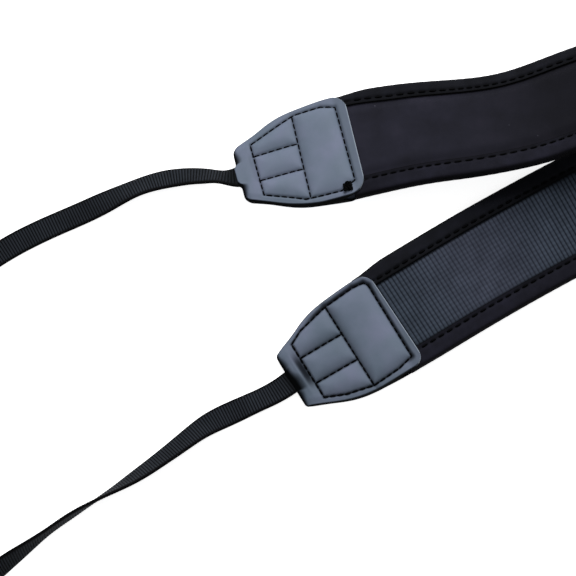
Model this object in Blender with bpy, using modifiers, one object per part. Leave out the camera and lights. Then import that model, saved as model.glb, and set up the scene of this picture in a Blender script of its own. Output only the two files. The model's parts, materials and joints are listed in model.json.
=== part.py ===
"""A padded neck strap for binoculars, laid on a table folded back over itself.

Metres, +Z up. The strap is a sandwich of neoprene and webbing between two folded bindings. It runs from one
leather end tab along the table, curls over at its far end, and comes back above itself to the other tab.
A narrow webbing tail leaves each tab. Every piece is a flat blank that is laid along one route, in which
"along" is the distance from the first tab's narrow end, "across" is to the left, and "out" is towards the
strap's outer face, the webbing.
"""

import math

import bmesh
import bpy
import numpy as np

# Driving dimensions: the pad
PAD_LENGTH = 0.620
PAD_WIDTH = 0.0525
NEOPRENE_CENTRE = 0.0030
NEOPRENE_EDGE = 0.0015
NEOPRENE_RISE = 0.0040
WEBBING_THICKNESS = 0.0012
BINDING_WALL = 0.0010
BINDING_REACH = 0.0095
BINDING_CORNER = 0.0013

# Driving dimensions: the leather tabs
TAB_LENGTH = 0.0565
TAB_NARROW_WIDTH = 0.0270
TAB_WIDE_WIDTH = 0.0490
TAB_NARROW_CORNER = 0.0025
TAB_WIDE_CORNER = 0.0065
TAB_PUFF = 0.0008
TAB_RAMP = 0.0070
LEATHER_THICKNESS = 0.0012
END_SEAM = 0.0085
CROSS_SEAM = 0.0300
SEAM_INSET = 0.0020
BINDING_TUCK = 0.0080

# Driving dimensions: the webbing tails
TAIL_WIDTH = 0.0103
TAIL_THICKNESS = 0.0014
TAIL_LOWER_LENGTH = 0.165
TAIL_UPPER_LENGTH = 0.124
TAIL_DROP = 0.030

# The gap that touching layers keep, and how finely the pieces are divided
CLEARANCE = 0.0003
PLAIN_STEP = 0.016
TURN_STEP = math.radians(12)
TAIL_STEP = 0.0050
ROUTE_STEP = 0.001

# The pad's route. share: of PAD_LENGTH. heading: where the strap runs in plan. turn: how far it has curled up
# and over. lean: how far its left edge dips. All three are degrees.
PAD_ROUTE = (
    # share, heading, turn, lean
    (0.000, 32.5, 4.0, 0.0),
    (0.050, 32.5, 1.5, 0.0),
    (0.090, 32.5, -1.5, 0.0),
    (0.130, 32.0, -0.5, 0.0),
    (0.180, 30.5, -1.0, 0.0),
    (0.240, 28.5, 0.5, 0.0),
    (0.320, 27.0, 1.0, 0.0),
    (0.395, 25.5, 1.5, 0.0),
    (0.445, 22.5, 30.5, 9.0),
    (0.490, 15.0, 79.0, 26.5),
    (0.540, 9.0, 139.0, 31.0),
    (0.585, 10.5, 192.5, 25.5),
    (0.620, 10.0, 212.0, 21.0),
    (0.670, 8.0, 212.0, 18.0),
    (0.720, 5.5, 206.0, 16.5),
    (0.765, 15.0, 191.0, 18.0),
    (0.805, 12.5, 178.0, 19.5),
    (0.845, 3.0, 185.5, 16.5),
    (0.885, 9.5, 182.0, 12.5),
    (0.925, 14.0, 180.5, 9.0),
    (1.000, 16.5, 183.5, 16.0),
)

# The tails' routes, from the tab outwards. share: of the tail's length. heading: where it runs in plan.
# lean: how far its left edge dips. A negative lean lifts that edge, and past 90 the tail has turned over.
LOWER_TAIL_ROUTE = (
    # share, heading, lean
    (0.00, 218, 0),
    (0.10, 204, -11),
    (0.20, 206, -1),
    (0.30, 218, -24),
    (0.40, 218, -38),
    (0.50, 215, -49),
    (0.60, 211, -71),
    (0.70, 213, -88),
    (0.80, 218, -93),
    (0.90, 217, -115),
    (1.00, 220, -138),
)
UPPER_TAIL_ROUTE = (
    # share, heading, lean
    (0.00, 195, -16),
    (0.06, 173, -42),
    (0.14, 175, -36),
    (0.25, 189, -28),
    (0.40, 203, -31),
    (0.55, 205, -7),
    (0.70, 204, -3),
    (0.85, 209, 1),
    (1.00, 216, 0),
)
# A tail's cut end is straight and flat from this share of its length on.
TAIL_END_SHARE = 0.95

# The leather's width between its corners. share: of TAB_LENGTH. fullness: 0 for the narrow end's width, 1 for
# the wide end's.
TAB_OUTLINE = (
    # share, fullness
    (0.00, 0.00),
    (0.18, 0.375),
    (0.35, 0.735),
    (0.44, 0.86),
    (0.54, 0.94),
    (0.67, 0.98),
    (0.80, 1.00),
    (1.00, 1.00),
)
# Where a tab's plies get a row of points, as shares of TAB_LENGTH.
TAB_ROWS = (
    *(0.0, 0.01, 0.05, 0.1, 0.15, 0.22, 0.28, 0.34, 0.4, 0.46),
    *(0.53, 0.6, 0.67, 0.74, 0.8, 0.86, 0.92, 0.96, 0.99, 1.0),
)
# Where they get a column, as shares of the half width inside the edge seam. The sides are added to these.
TAB_COLUMNS = (-1.0, -0.75, -0.4, 0.0, 0.4, 0.75, 1.0)
# The shares of CROSS_SEAM between which a ply climbs from the tail onto the neoprene.
CLIMB_START = 0.3
CLIMB_END = 0.9

# The columns of the neoprene and the webbing: what each lines up with, and its side
CORE_COLUMNS = (
    ("edge", -1),
    ("binding", -1),
    ("swell", -1),
    ("middle", 0),
    ("swell", 1),
    ("binding", 1),
    ("edge", 1),
)

# Levels of the layers, measured out from the middle of the bound edge
STACK_HALF = (2 * BINDING_WALL + 3 * CLEARANCE + NEOPRENE_EDGE + WEBBING_THICKNESS) / 2
CORE_HALF = STACK_HALF - BINDING_WALL - CLEARANCE
WEBBING_UNDERSIDE = CORE_HALF - WEBBING_THICKNESS
NEOPRENE_FACE = WEBBING_UNDERSIDE - CLEARANCE
CORE_HALF_WIDTH = PAD_WIDTH / 2 - BINDING_WALL - BINDING_CORNER / 2 - CLEARANCE

# Levels of a tab's inner surface over the tail, over the bare layers and over the bound edge
OVER_TAIL = TAIL_THICKNESS / 2 + CLEARANCE
OVER_CORE = CORE_HALF + CLEARANCE
OVER_BINDING = STACK_HALF + CLEARANCE
BINDING_START = TAB_LENGTH - BINDING_TUCK

UP = np.array([0.0, 0.0, 1.0])


def column_at(table, column, share):
    """A table's column at any share: a cubic through its rows whose slopes are those of the neighbours."""
    rows = np.array(table, dtype=float)
    knots = rows[:, 0]
    values = rows[:, column]
    slopes = np.gradient(values, knots)
    row = np.clip(np.searchsorted(knots, share, side="right") - 1, 0, len(knots) - 2)
    span = knots[row + 1] - knots[row]
    t = (share - knots[row]) / span
    ease = t * t * (3 - 2 * t)
    pull_in = t * (1 - t) ** 2 * span * slopes[row]
    pull_out = t * t * (t - 1) * span * slopes[row + 1]
    return values[row] * (1 - ease) + values[row + 1] * ease + pull_in + pull_out


def smooth(value):
    """From 0 to 1 with no corner at either end."""
    value = np.clip(value, 0.0, 1.0)
    return value * value * (3 - 2 * value)


def plan_axes(heading):
    """The direction of a heading in plan, and the direction to its left."""
    level = np.zeros_like(heading)
    forward = np.stack([np.cos(heading), np.sin(heading), level], axis=1)
    left = np.stack([-np.sin(heading), np.cos(heading), level], axis=1)
    return forward, left


def path_through(directions, step):
    """The points that unit directions lead through, each a step from the last."""
    moves = (directions[1:] + directions[:-1]) / 2 * step
    return np.vstack([np.zeros(3), np.cumsum(moves, axis=0)])


class Route:
    """Points along a strap, with its directions across and outwards, read at any distance along."""

    def __init__(self, along, points, across, out):
        self.along = along
        self.points = points
        self.across = across
        self.out = out

    def read(self, values, along):
        return np.array([np.interp(along, self.along, values[:, axis]) for axis in range(3)])

    def place(self, along, across=0.0, out=0.0):
        point = self.read(self.points, along)
        return point + across * self.read(self.across, along) + out * self.read(self.out, along)


def pad_route():
    """The pad's middle, from one tab's narrow end to the other's."""
    count = round(PAD_LENGTH / ROUTE_STEP) + 1
    share = np.linspace(0.0, 1.0, count)
    heading = np.radians(column_at(PAD_ROUTE, 1, share))
    turn = np.radians(column_at(PAD_ROUTE, 2, share))[:, None]
    lean = np.radians(column_at(PAD_ROUTE, 3, share))[:, None]
    forward, left = plan_axes(heading)
    rise = np.cos(lean) * UP + np.sin(lean) * left
    direction = np.cos(turn) * forward + np.sin(turn) * rise
    across = np.cos(lean) * left - np.sin(lean) * UP
    out = np.cross(direction, across)
    along = share * PAD_LENGTH
    return Route(along, path_through(direction, along[1]), across, out)


def tail_route(table, length, pad, tab_end, inwards, floor):
    """A tail's middle, from inside its tab to its cut end on the floor.

    tab_end is the tab's narrow end along the pad, and inwards is 1 or -1, the way along the pad into the tab.
    Outside the tab the tail sinks over TAIL_DROP until its lower edge is on the floor.
    """
    count = round(length / ROUTE_STEP) + 1
    share = np.minimum(np.linspace(0.0, 1.0, count), TAIL_END_SHARE)
    heading = np.radians(column_at(table, 1, share))
    lean = np.radians(column_at(table, 2, share))[:, None]
    along = np.linspace(0.0, length, count)
    forward, left = plan_axes(heading)
    start = pad.place(tab_end)
    points = path_through(forward, along[1]) + start
    reach = (np.abs(np.sin(lean)) * TAIL_WIDTH + np.abs(np.cos(lean)) * TAIL_THICKNESS)[:, 0] / 2
    points[:, 2] = floor + reach + (start[2] - floor - reach[0]) * (1 - smooth(along / TAIL_DROP))
    across = np.cos(lean) * left - np.sin(lean) * UP

    hidden = np.arange(CROSS_SEAM - CLEARANCE, 0.0, -ROUTE_STEP)
    inside = np.array([pad.place(tab_end + inwards * depth) for depth in hidden])
    inside_across = np.array([pad.read(-pad.across * inwards, tab_end + inwards * depth) for depth in hidden])
    side = np.sign(np.dot(inside_across[-1], across[0]))
    points = np.vstack([inside, points])
    across = np.vstack([inside_across * side, across])
    direction = np.gradient(points, axis=0)
    out = np.cross(direction, across)
    out = out / np.linalg.norm(out, axis=1)[:, None]
    return Route(np.concatenate([-hidden, along]), points, across, out)


def stations(route, start, end):
    """Where a piece gets a row of points: after each PLAIN_STEP or TURN_STEP, whichever comes sooner."""
    along = route.along[(route.along >= start) & (route.along <= end)]
    out = np.array([route.read(route.out, s) for s in along])
    out = out / np.linalg.norm(out, axis=1)[:, None]
    turned = np.arccos(np.clip(np.sum(out[1:] * out[:-1], axis=1), -1.0, 1.0))
    rate = np.diff(along) / PLAIN_STEP + turned / TURN_STEP
    progress = np.concatenate([[0.0], np.cumsum(rate)])
    count = math.ceil(progress[-1])
    rows = np.interp(np.linspace(0.0, progress[-1], count + 1), progress, along)
    rows[0] = start
    rows[-1] = end
    return rows


def material(name, colour, roughness):
    """A plain finish: colour is linear RGB."""
    finish = bpy.data.materials.new(name)
    finish.use_nodes = True
    shader = finish.node_tree.nodes["Principled BSDF"]
    shader.inputs["Base Color"].default_value = (*colour, 1.0)
    shader.inputs["Roughness"].default_value = roughness
    shader.inputs["Metallic"].default_value = 0.0
    return finish


def blank(name, rows, columns, place, finish, collection):
    """A flat grid with a point for each row and column, each moved to place(row, column)."""
    grid = bmesh.new()
    bmesh.ops.create_grid(grid, x_segments=len(rows) - 1, y_segments=len(columns) - 1, size=0.5)
    for point in grid.verts:
        row = rows[round((point.co.x + 0.5) * (len(rows) - 1))]
        column = columns[round((point.co.y + 0.5) * (len(columns) - 1))]
        point.co = place(row, column)
    mesh = bpy.data.meshes.new(name)
    grid.to_mesh(mesh)
    grid.free()
    mesh.materials.append(finish)
    piece = bpy.data.objects.new(name, mesh)
    collection.objects.link(piece)
    return piece


def thicken(piece, thickness, offset):
    """Gives a blank its wall. An offset of 1 builds it outwards, -1 inwards and 0 both ways."""
    wall = piece.modifiers.new("wall", "SOLIDIFY")
    wall.thickness = thickness
    wall.offset = offset
    wall.use_even_offset = True
    return wall


def core_half_width(depth):
    """Half the width of the neoprene and webbing at a depth into the tab: they stay inside its edge seam."""
    return min(CORE_HALF_WIDTH, tab_half_width(depth) - SEAM_INSET)


def depth_in_tab(along):
    """How far a point of the pad lies from the nearer tab's narrow end, up to TAB_LENGTH."""
    return min(along, PAD_LENGTH - along, TAB_LENGTH)


def tab_half_width(depth):
    """Half the leather's width, before its corners are rounded."""
    fullness = float(column_at(TAB_OUTLINE, 1, depth / TAB_LENGTH))
    return (TAB_NARROW_WIDTH + (TAB_WIDE_WIDTH - TAB_NARROW_WIDTH) * fullness) / 2


def corner_cut(distance, radius):
    """How much a round corner takes off the side at a distance from the end."""
    if distance >= radius:
        return 0.0
    return radius - math.sqrt(radius**2 - (radius - distance) ** 2)


def core_place(route, level):
    """Where the neoprene and the webbing have their points: both share these, so that they never cross."""
    flat_half = PAD_WIDTH / 2 - BINDING_REACH
    widths = {"binding": flat_half, "swell": flat_half - NEOPRENE_RISE, "middle": 0.0}

    def place(along, column):
        kind, side = CORE_COLUMNS[column]
        edge = core_half_width(depth_in_tab(along))
        return route.place(along, side * min(widths.get(kind, edge), edge), level)

    return place


def core_rows(route):
    """The rows of the neoprene and the webbing, which end beside the tabs' cross seams."""
    return stations(route, CROSS_SEAM + CLEARANCE, PAD_LENGTH - CROSS_SEAM - CLEARANCE)


def make_neoprene(route, finish, collection):
    """The cushioning layer: squeezed flat under the bindings, swelling between them on its back."""
    rows = core_rows(route)
    columns = range(len(CORE_COLUMNS))
    piece = blank("neoprene_pad", rows, columns, core_place(route, NEOPRENE_FACE), finish, collection)
    wall = thicken(piece, NEOPRENE_CENTRE, -1)
    swelling = piece.vertex_groups.new(name="thickness")
    edge_share = NEOPRENE_EDGE / NEOPRENE_CENTRE
    for column, (kind, side) in enumerate(CORE_COLUMNS):
        for row, along in enumerate(rows):
            free = 0.0
            if kind in ("swell", "middle"):
                free = smooth((depth_in_tab(along) - BINDING_START) / TAB_RAMP)
            swelling.add([column * len(rows) + row], float(edge_share + (1 - edge_share) * free), "REPLACE")
    wall.vertex_group = swelling.name
    return piece


def make_face_webbing(route, finish, collection):
    """The broad ribbed webbing on the outer face, its edges under the bindings."""
    columns = range(len(CORE_COLUMNS))
    place = core_place(route, WEBBING_UNDERSIDE)
    piece = blank("face_webbing", core_rows(route), columns, place, finish, collection)
    thicken(piece, WEBBING_THICKNESS, 1)
    return piece


def binding_profile():
    """The middle of the folded tape, from its outer-face edge round the pad's edge to its back edge."""
    level = STACK_HALF - BINDING_WALL / 2
    reach = PAD_WIDTH / 2 - BINDING_WALL / 2
    centre = reach - BINDING_CORNER
    arc = []
    for angle in np.linspace(0.0, math.pi / 2, 3):
        drop = BINDING_CORNER * (1 - math.cos(angle))
        arc.append((centre + BINDING_CORNER * math.sin(angle), level - drop))
    outer = [(PAD_WIDTH / 2 - BINDING_REACH, level)] + arc
    return outer + [(across, -out) for across, out in reversed(outer)]


def make_binding(route, name, side, finish, collection):
    """A tape folded round one edge of the pad, tucked into each tab."""

    def place(along, point):
        return route.place(along, side * point[0], point[1])

    rows = stations(route, BINDING_START, PAD_LENGTH - BINDING_START)
    piece = blank(name, rows, binding_profile(), place, finish, collection)
    thicken(piece, BINDING_WALL, 0)
    return piece


def ply_level(depth, column):
    """A ply's inner surface above the pad's middle, at a depth into the tab and a column across it.

    An infinite column is the ply's very side, where the two plies are pinched together.
    """
    core = smooth((depth / CROSS_SEAM - CLIMB_START) / (CLIMB_END - CLIMB_START))
    bound = smooth((depth - BINDING_START + TAB_RAMP) / (TAB_RAMP - CLEARANCE))
    level = OVER_TAIL + (OVER_CORE - OVER_TAIL) * core + (OVER_BINDING - OVER_CORE) * bound
    if math.isinf(column):
        pinched = CLEARANCE / 2 + OVER_CORE / 2 * core
        return pinched + (OVER_BINDING - pinched) * bound
    swell = 0.0
    for start, end in ((END_SEAM, CROSS_SEAM), (CROSS_SEAM, BINDING_START)):
        if start < depth < end:
            swell = math.sin(math.pi * (depth - start) / (end - start))
    return level + TAB_PUFF * swell * (1 - column**2)


def make_ply(route, name, tab_end, inwards, face, finish, collection):
    """One leather ply of a tab. face is 1 for the strap's outer face and -1 for its back."""

    def place(depth, column):
        half = tab_half_width(depth)
        half -= corner_cut(depth, TAB_NARROW_CORNER) + corner_cut(TAB_LENGTH - depth, TAB_WIDE_CORNER)
        if math.isinf(column):
            across = math.copysign(half, column)
        else:
            across = column * (half - SEAM_INSET)
        return route.place(tab_end + inwards * depth, across, face * ply_level(depth, column))

    rows = [share * TAB_LENGTH for share in TAB_ROWS]
    columns = (-math.inf, *TAB_COLUMNS, math.inf)
    piece = blank(name, rows, columns, place, finish, collection)
    thicken(piece, LEATHER_THICKNESS, face * inwards)
    return piece


def make_tail(route, name, length, finish, collection):
    """A narrow ribbed webbing tail, from the cross seam inside its tab to its plain sealed end."""

    def place(along, side):
        return route.place(along, side * TAIL_WIDTH / 2)

    inside = np.linspace(route.along[0], 0.0, math.ceil(-route.along[0] / TAIL_STEP) + 1)
    outside = np.linspace(0.0, length, math.ceil(length / TAIL_STEP) + 1)
    piece = blank(name, [*inside, *outside[1:]], (-1, 1), place, finish, collection)
    thicken(piece, TAIL_THICKNESS, 0)
    return piece


def lowest_point(route):
    """The lowest that the bound, padded and leather-covered strap reaches."""
    low = []
    for along in route.along:
        depth = depth_in_tab(along)
        half = PAD_WIDTH / 2
        edge = STACK_HALF
        middle = NEOPRENE_CENTRE - NEOPRENE_FACE
        if depth < TAB_LENGTH:
            half = tab_half_width(depth)
            edge = ply_level(depth, 1.0) + LEATHER_THICKNESS
            middle = edge
        for across, out in ((-half, edge), (0.0, middle), (half, edge)):
            low.append(route.place(along, across, -out)[2])
            low.append(route.place(along, across, edge)[2])
    return min(low)


def stand_on_floor(pieces, origin):
    """Moves the whole strap so that the middle of its underside is the origin."""
    bpy.context.view_layer.update()
    graph = bpy.context.evaluated_depsgraph_get()
    corners = []
    for piece in pieces:
        mesh = piece.evaluated_get(graph).to_mesh()
        points = np.empty(len(mesh.vertices) * 3)
        mesh.vertices.foreach_get("co", points)
        corners.append(points.reshape(-1, 3))
    corners = np.vstack(corners)
    low = corners.min(axis=0)
    high = corners.max(axis=0)
    origin.location = (-(low[0] + high[0]) / 2, -(low[1] + high[1]) / 2, -low[2])
    for piece in pieces:
        piece.parent = origin


def build():
    for old in list(bpy.data.objects):
        bpy.data.objects.remove(old, do_unlink=True)
    collection = bpy.data.collections.new("binocular_neck_strap")
    bpy.context.scene.collection.children.link(collection)
    origin = bpy.data.objects.new("strap_origin", None)
    collection.objects.link(origin)

    neoprene = material("neoprene", (0.010, 0.010, 0.013), 0.75)
    face = material("ribbed_face_webbing", (0.022, 0.026, 0.034), 0.60)
    tape = material("binding_tape", (0.007, 0.007, 0.009), 0.70)
    leather = material("slate_leather", (0.115, 0.145, 0.195), 0.50)
    webbing = material("tail_webbing", (0.009, 0.010, 0.012), 0.65)

    pad = pad_route()
    floor = lowest_point(pad)
    lower_tail = tail_route(LOWER_TAIL_ROUTE, TAIL_LOWER_LENGTH, pad, 0.0, 1, floor)
    upper_tail = tail_route(UPPER_TAIL_ROUTE, TAIL_UPPER_LENGTH, pad, PAD_LENGTH, -1, floor)

    pieces = [
        make_neoprene(pad, neoprene, collection),
        make_face_webbing(pad, face, collection),
        make_binding(pad, "edge_binding_left", 1, tape, collection),
        make_binding(pad, "edge_binding_right", -1, tape, collection),
        make_ply(pad, "tab_lower_front", 0.0, 1, 1, leather, collection),
        make_ply(pad, "tab_lower_back", 0.0, 1, -1, leather, collection),
        make_ply(pad, "tab_upper_front", PAD_LENGTH, -1, 1, leather, collection),
        make_ply(pad, "tab_upper_back", PAD_LENGTH, -1, -1, leather, collection),
        make_tail(lower_tail, "tail_lower", TAIL_LOWER_LENGTH, webbing, collection),
        make_tail(upper_tail, "tail_upper", TAIL_UPPER_LENGTH, webbing, collection),
    ]
    stand_on_floor(pieces, origin)


build()
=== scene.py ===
# %% [markdown]
# # A padded neck strap for binoculars
#
# The strap is a sandwich: foam neoprene at the back, broad ribbed webbing on the outer face, and a tape
# folded round each edge. Each end goes into a quilted tab of slate faux leather, and a thin webbing tail
# leaves each tab. It lies on a table, curls over at its far end and comes back over itself.
#
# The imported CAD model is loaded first, as a frame. It has every piece at its true size, but plain. Each cell
# below dresses one piece, in the place where its plain one lies.

# %% Load the frame
import json
import math

import bpy
import numpy as np
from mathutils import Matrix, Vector


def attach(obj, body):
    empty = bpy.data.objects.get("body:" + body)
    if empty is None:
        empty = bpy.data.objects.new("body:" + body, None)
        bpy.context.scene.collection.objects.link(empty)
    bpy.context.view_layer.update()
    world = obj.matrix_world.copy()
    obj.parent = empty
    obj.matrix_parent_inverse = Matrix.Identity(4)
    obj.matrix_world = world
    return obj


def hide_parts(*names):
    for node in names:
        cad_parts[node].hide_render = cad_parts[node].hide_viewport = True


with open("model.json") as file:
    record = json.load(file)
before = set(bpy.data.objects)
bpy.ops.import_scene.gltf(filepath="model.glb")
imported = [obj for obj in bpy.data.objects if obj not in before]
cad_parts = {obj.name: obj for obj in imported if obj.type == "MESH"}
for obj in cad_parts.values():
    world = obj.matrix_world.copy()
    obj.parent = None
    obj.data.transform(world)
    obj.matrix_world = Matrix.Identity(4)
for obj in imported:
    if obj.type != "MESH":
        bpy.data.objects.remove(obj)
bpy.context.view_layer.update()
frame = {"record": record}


# %% [markdown]
# ## The camera
#
# The photograph looks down on the table from 75 degrees above it. Its perspective can't be measured, so the
# lens is a long one from far away, which keeps parallel edges nearly parallel. A camera's picture is as wide
# as its sensor times distance over focal length, so the lens follows from the width of table that the picture
# shows.

# %% Camera
PICTURE_WIDTH = 0.26035
PICTURE_CENTRE = Vector((-0.06102, 0.00050, 0.0))
CAMERA_ELEVATION = math.radians(75)
CAMERA_DISTANCE = 8.0
SENSOR_WIDTH = 36.0


def in_scene(name, data):
    """An object that holds the data, linked into the scene."""
    obj = bpy.data.objects.new(name, data)
    bpy.context.scene.collection.objects.link(obj)
    return obj


def looking_at(obj, place, target):
    """Puts an object at a place and turns its -Z axis to the target."""
    obj.location = place
    obj.rotation_euler = (target - place).to_track_quat("-Z", "Y").to_euler()


camera_data = bpy.data.cameras.new("camera")
camera_data.sensor_width = SENSOR_WIDTH
camera_data.lens = SENSOR_WIDTH * CAMERA_DISTANCE / PICTURE_WIDTH
camera_data.clip_end = 2 * CAMERA_DISTANCE
camera = in_scene("camera", camera_data)
backwards = Vector((0.0, -math.cos(CAMERA_ELEVATION), math.sin(CAMERA_ELEVATION)))
looking_at(camera, PICTURE_CENTRE + backwards * CAMERA_DISTANCE, PICTURE_CENTRE)
bpy.context.scene.camera = camera
print("Lens in mm:", round(camera_data.lens))


# %% [markdown]
# ## Sizes
#
# These are the sizes of the CAD model. "Along" is the distance from the lower tab's narrow end, "across" is
# to the left of that, and "out" is towards the strap's outer face. All lengths are in metres.

# %% Sizes
PAD_LENGTH = 0.620
PAD_HALF = 0.02625
TAB_LENGTH = 0.0565
TAB_NARROW_HALF = 0.0135
TAB_WIDE_HALF = 0.0245
LEATHER = 0.0012
END_SEAM = 0.0085
CROSS_SEAM = 0.0300
TAPE_START = 0.0485
TAIL_HALF = 0.00515
TAIL_THICKNESS = 0.0014
TAIL_LOWER_LENGTH = 0.165
TAIL_UPPER_LENGTH = 0.124
TAIL_DROP = 0.030
TAIL_END_SHARE = 0.95

NEOPRENE_FLAT = 0.0015
NEOPRENE_FULL = 0.0030
WEBBING_INNER = 0.0003
WEBBING_OUTER = 0.0015
TAPE_OUTER = 0.0028
CORE_HALF = 0.0232
OVER_TAIL = 0.0010
OVER_CORE = 0.0018
OVER_TAPE = 0.0031
GAP = 0.0003
print("The pad in mm:", PAD_LENGTH * 1000, "by", PAD_HALF * 2000)


# %% [markdown]
# ## The route
#
# A laid strap is hard to place point by point, but easy to describe as a drive: where it heads in plan, how
# far it has curled up and over, and how far it leans to its left. Short tables give these three angles, a
# smooth cubic reads them at any distance, and adding up small steps gives the points. They are the CAD
# model's own tables, so a piece that is made from them lies exactly where its plain solid does.

# %% Route tables
PAD_ROUTE = (
    # share, heading, turn, lean
    (0.000, 32.5, 4.0, 0.0),
    (0.050, 32.5, 1.5, 0.0),
    (0.090, 32.5, -1.5, 0.0),
    (0.130, 32.0, -0.5, 0.0),
    (0.180, 30.5, -1.0, 0.0),
    (0.240, 28.5, 0.5, 0.0),
    (0.320, 27.0, 1.0, 0.0),
    (0.395, 25.5, 1.5, 0.0),
    (0.445, 22.5, 30.5, 9.0),
    (0.490, 15.0, 79.0, 26.5),
    (0.540, 9.0, 139.0, 31.0),
    (0.585, 10.5, 192.5, 25.5),
    (0.620, 10.0, 212.0, 21.0),
    (0.670, 8.0, 212.0, 18.0),
    (0.720, 5.5, 206.0, 16.5),
    (0.765, 15.0, 191.0, 18.0),
    (0.805, 12.5, 178.0, 19.5),
    (0.845, 3.0, 185.5, 16.5),
    (0.885, 9.5, 182.0, 12.5),
    (0.925, 14.0, 180.5, 9.0),
    (1.000, 16.5, 183.5, 16.0),
)
LOWER_TAIL_ROUTE = (
    # share, heading, lean
    (0.00, 218, 0),
    (0.10, 204, -11),
    (0.20, 206, -1),
    (0.30, 218, -24),
    (0.40, 218, -38),
    (0.50, 215, -49),
    (0.60, 211, -71),
    (0.70, 213, -88),
    (0.80, 218, -93),
    (0.90, 217, -115),
    (1.00, 220, -138),
)
UPPER_TAIL_ROUTE = (
    # share, heading, lean
    (0.00, 195, -16),
    (0.06, 173, -42),
    (0.14, 175, -36),
    (0.25, 189, -28),
    (0.40, 203, -31),
    (0.55, 205, -7),
    (0.70, 204, -3),
    (0.85, 209, 1),
    (1.00, 216, 0),
)
TAB_OUTLINE = (
    # share of the tab's length, fullness: 0 for the narrow end's width, 1 for the wide end's
    (0.00, 0.00),
    (0.18, 0.375),
    (0.35, 0.735),
    (0.44, 0.86),
    (0.54, 0.94),
    (0.67, 0.98),
    (0.80, 1.00),
    (1.00, 1.00),
)
ROUTE_STEP = 0.00025
UP = np.array([0.0, 0.0, 1.0])
print("Rows of the three routes:", len(PAD_ROUTE), len(LOWER_TAIL_ROUTE), len(UPPER_TAIL_ROUTE))


# %% [markdown]
# ### Reading a table
#
# Straight lines between the rows would put a kink at each row, and one high polynomial through all of them
# would swing about. A cubic for each stretch, whose slope at a row is that of the row's neighbours, does
# neither. Two small shapes are needed again and again below: a smooth step from 0 to 1, and a smooth hump.
# Where their numbers need a name, one name stands for both: a step's start and reach, or a hump's middle and
# width.

# %% Reading a table
def column_at(table, column, share):
    """Value at a share: the cubic through the rows whose slope at each row is that of its neighbours."""
    rows = np.array(table, dtype=float)
    knots = rows[:, 0]
    values = rows[:, column]
    slopes = np.gradient(values, knots)
    row = np.clip(np.searchsorted(knots, share, side="right") - 1, 0, len(knots) - 2)
    span = knots[row + 1] - knots[row]
    t = (share - knots[row]) / span
    ease = t * t * (3 - 2 * t)
    pull_in = t * (1 - t) ** 2 * span * slopes[row]
    pull_out = t * t * (t - 1) * span * slopes[row + 1]
    return values[row] * (1 - ease) + values[row + 1] * ease + pull_in + pull_out


def smooth(value):
    """From 0 to 1 with no corner at either end: 3 v squared less 2 v cubed, with v kept within 0 and 1."""
    value = np.clip(value, 0.0, 1.0)
    return value * value * (3 - 2 * value)


def rise(value, start, reach):
    """A smooth step from 0 at the start to 1 at start + reach, which lies before the start if reach < 0."""
    return smooth((value - start) / reach)


def fade(distance, reach):
    """A smooth step from 1 at no distance to 0 from reach on."""
    return smooth(1 - distance / reach)


def hump(value, middle, width, power=2):
    """1 at its middle: exp(-|(value - middle) / width| to the power). Higher powers have flatter tops."""
    return np.exp(-(np.abs((value - middle) / width) ** power))


def most(*shares):
    """The greatest of several shares, point by point."""
    return np.max(np.broadcast_arrays(*shares), axis=0)


def unit(vectors):
    """Each vector over its own length."""
    return vectors / np.linalg.norm(vectors, axis=-1, keepdims=True)


print("Heading halfway along:", round(float(column_at(PAD_ROUTE, 1, 0.5)), 1), "degrees")


# %% [markdown]
# ### Following a route
#
# The table gives angles, and a strap needs points. Each angle triple gives the direction of travel, and
# summing the directions in steps of a quarter of a millimetre gives the middle line. With the directions
# across and out kept beside it, any point of any layer is: the middle, plus so much across, plus so much out.

# %% Following a route
def read_between(spots, measure, values):
    """The rows of values at any array of distances, straight between the measured rows."""
    return np.stack([np.interp(spots, measure, column) for column in values.T], axis=-1)


class Route:
    """Points along a strap, with the directions across it and out of it."""

    def __init__(self, along, points, across, out):
        self.along = along
        self.points = points
        self.across = across
        self.out = out

    def read(self, values, along):
        """The values at any array of distances along."""
        return read_between(along, self.along, values)

    def place(self, along, across, out):
        """Point = middle + across times the direction across + out times the direction out."""
        along, across, out = np.broadcast_arrays(along, across, out)
        sideways = across[..., None] * unit(self.read(self.across, along))
        outwards = out[..., None] * unit(self.read(self.out, along))
        return self.read(self.points, along) + sideways + outwards


# %% [markdown]
# ### The pad's route
#
# The three angles of each row turn into a direction of travel and a direction across, and summing the steps
# gives the points. A tab's leather reaches a little past the pad's own end, so the finished route is made
# longer there by a few millimetres, straight on.

# %% The pad's route
TAB_OVERHANG = 0.004


def plan_axes(heading):
    """The direction of a heading in plan, and the direction to its left."""
    level = np.zeros_like(heading)
    forward = np.stack([np.cos(heading), np.sin(heading), level], axis=1)
    left = np.stack([-np.sin(heading), np.cos(heading), level], axis=1)
    return forward, left


def path_through(directions, step):
    """Each point is the last one plus a step along the mean of two neighbouring directions."""
    moves = (directions[1:] + directions[:-1]) / 2 * step
    return np.vstack([np.zeros(3), np.cumsum(moves, axis=0)])


def pad_route():
    """Direction = cos(turn) heading + sin(turn) (cos(lean) up + sin(lean) left)."""
    count = round(PAD_LENGTH / ROUTE_STEP) + 1
    share = np.linspace(0.0, 1.0, count)
    forward, left = plan_axes(np.radians(column_at(PAD_ROUTE, 1, share)))
    turn = np.radians(column_at(PAD_ROUTE, 2, share))[:, None]
    lean = np.radians(column_at(PAD_ROUTE, 3, share))[:, None]
    direction = np.cos(turn) * forward + np.sin(turn) * (np.cos(lean) * UP + np.sin(lean) * left)
    across = np.cos(lean) * left - np.sin(lean) * UP
    points = path_through(direction, PAD_LENGTH / (count - 1))
    return Route(share * PAD_LENGTH, points, across, np.cross(direction, across))


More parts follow.
